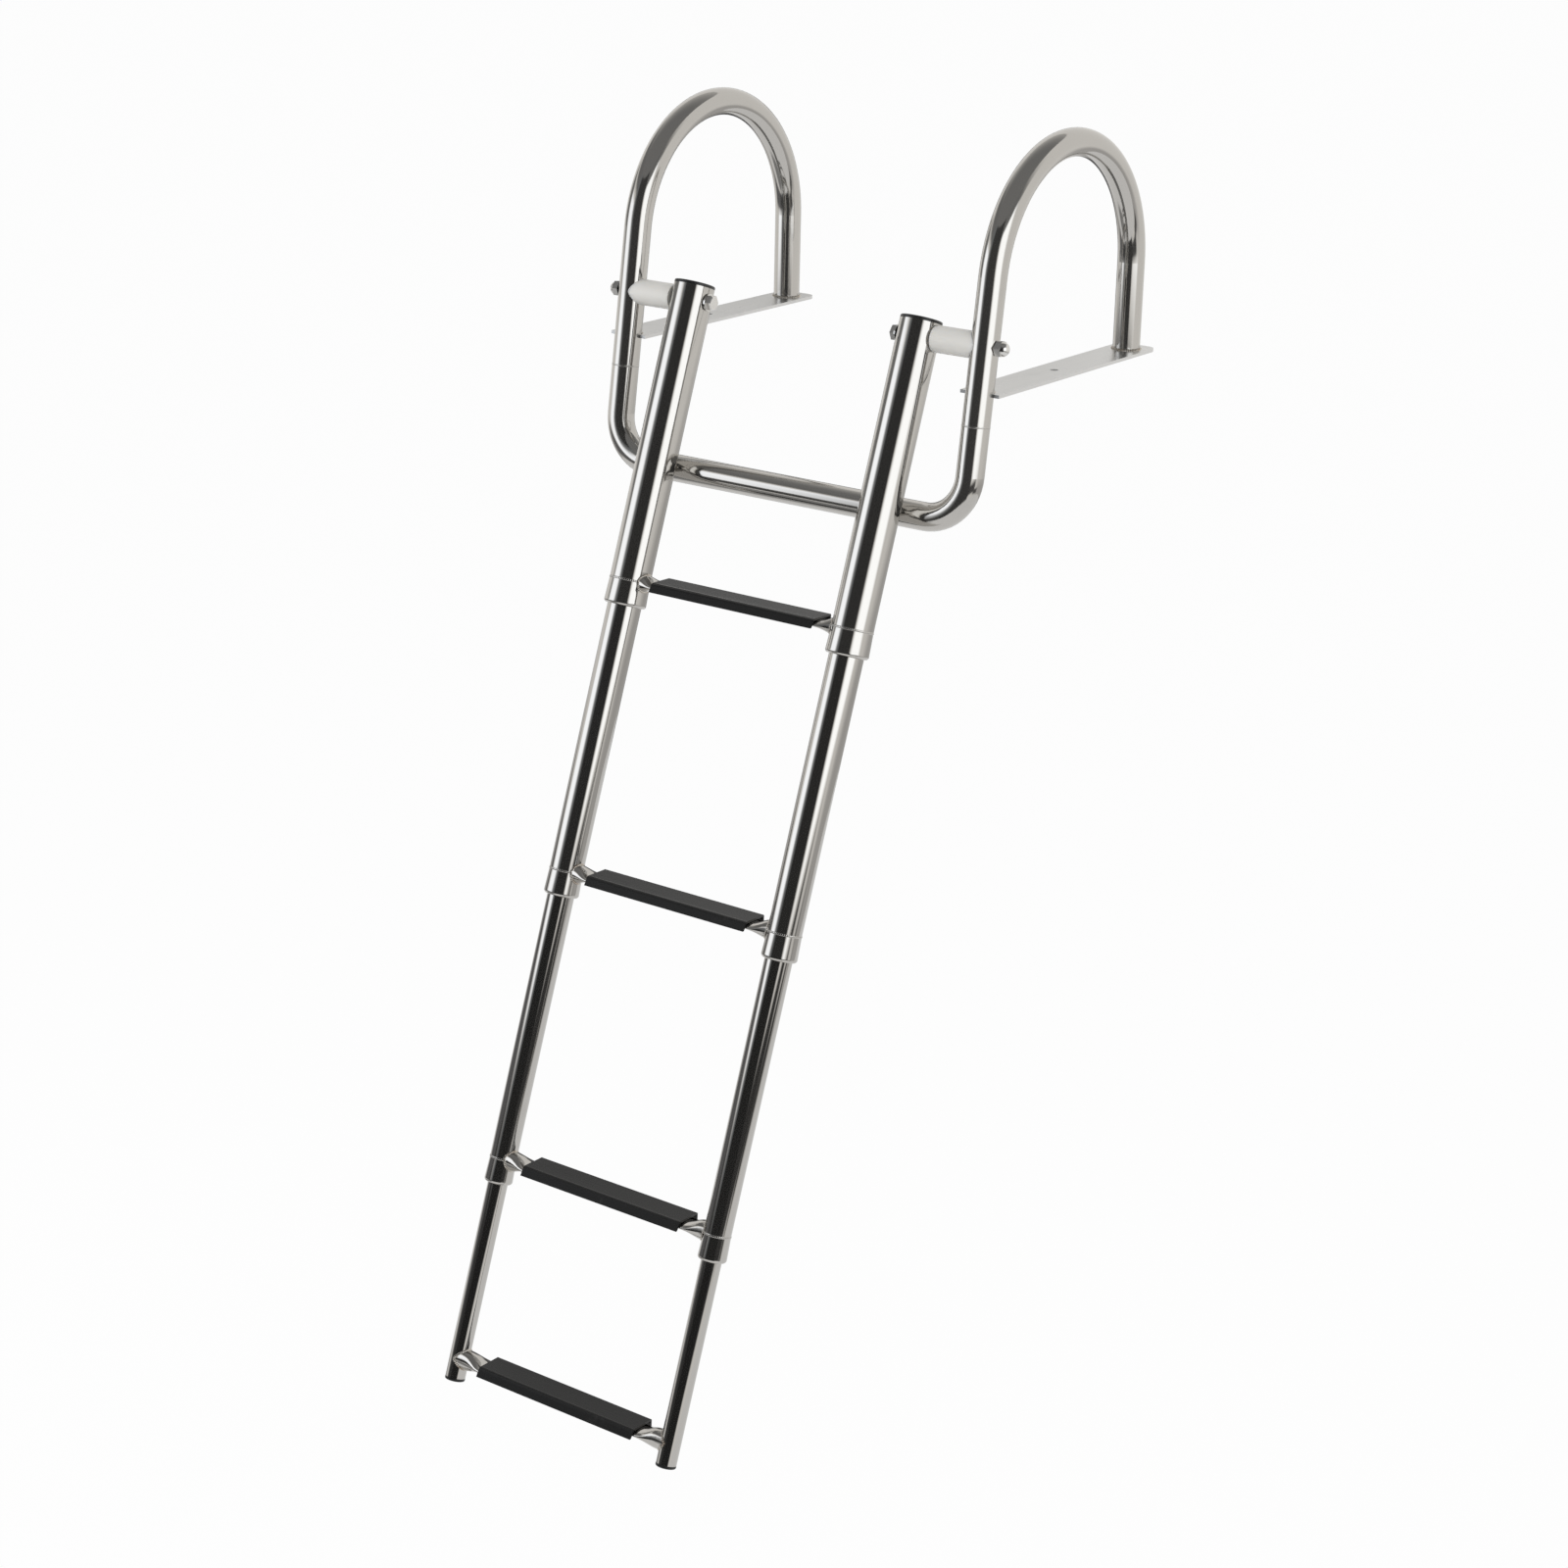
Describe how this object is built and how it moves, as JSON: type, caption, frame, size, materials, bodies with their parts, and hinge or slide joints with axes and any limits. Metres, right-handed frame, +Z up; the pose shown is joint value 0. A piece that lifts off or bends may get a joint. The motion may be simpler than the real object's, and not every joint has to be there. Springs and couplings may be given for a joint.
{
  "type": "boat ladder",
  "caption": "Telescoping boarding ladder hung on pivots between handrail loops that stand on deck plates; its sections slide together and it swings up over the deck.",
  "frame": {"origin": "underside of the right deck plate, at the centre of its bolt hole", "axes": "+Z up, +Y towards the deck, +X to the right seen from the water"},
  "size_m": [0.438, 0.6255, 1.1491],
  "materials": {
    "polished_steel": "mirror polished stainless tube",
    "satin_steel": "satin stainless plate",
    "nylon": "natural nylon",
    "black_plastic": "moulded black plastic",
    "tread_plastic": "smooth dark moulded plastic"
  },
  "bodies": {
    "handrails": {"handrail_left": "polished_steel", "handrail_right": "polished_steel", "lower_crossbar": "polished_steel", "mounting_plate_left": "satin_steel", "mounting_plate_right": "satin_steel", "pivot_bolt_left": "polished_steel", "pivot_bolt_right": "polished_steel", "pivot_washer_left": "polished_steel", "pivot_washer_right": "polished_steel", "pivot_nut_left": "polished_steel", "pivot_nut_right": "polished_steel", "spacer_left": "nylon", "spacer_right": "nylon"},
    "upper_section": {"upper_rail_left": "polished_steel", "upper_rail_right": "polished_steel", "rail_cap_left": "black_plastic", "rail_cap_right": "black_plastic", "upper_collar_left": "polished_steel", "upper_collar_right": "polished_steel", "step_bar_1": "polished_steel", "tread_1": "tread_plastic"},
    "second_section": {"second_rail_left": "polished_steel", "second_rail_right": "polished_steel", "second_collar_left": "polished_steel", "second_collar_right": "polished_steel", "second_bush_left": "nylon", "second_bush_right": "nylon", "step_bar_2": "polished_steel", "tread_2": "tread_plastic"},
    "third_section": {"third_rail_left": "polished_steel", "third_rail_right": "polished_steel", "third_collar_left": "polished_steel", "third_collar_right": "polished_steel", "third_bush_left": "nylon", "third_bush_right": "nylon", "step_bar_3": "polished_steel", "tread_3": "tread_plastic"},
    "lowest_section": {"lowest_rail_left": "polished_steel", "lowest_rail_right": "polished_steel", "foot_plug_left": "black_plastic", "foot_plug_right": "black_plastic", "lowest_bush_left": "nylon", "lowest_bush_right": "nylon", "step_bar_4": "polished_steel", "tread_4": "tread_plastic"}
  },
  "joints": [
    {"name": "ladder_swing", "type": "hinge", "parent": "handrails", "child": "upper_section", "pos_m": [-0.195, -0.119, 0.0423], "axis": [-1, 0, 0], "range_deg": [0, 250]},
    {"name": "second_slide", "type": "slide", "parent": "upper_section", "child": "second_section", "axis": [0, 0.3364, 0.9417], "range_m": [0, 0.237]},
    {"name": "third_slide", "type": "slide", "parent": "second_section", "child": "third_section", "axis": [0, 0.3364, 0.9417], "range_m": [0, 0.237]},
    {"name": "lowest_slide", "type": "slide", "parent": "third_section", "child": "lowest_section", "axis": [0, 0.3364, 0.9417], "range_m": [0, 0.154]}
  ]
}
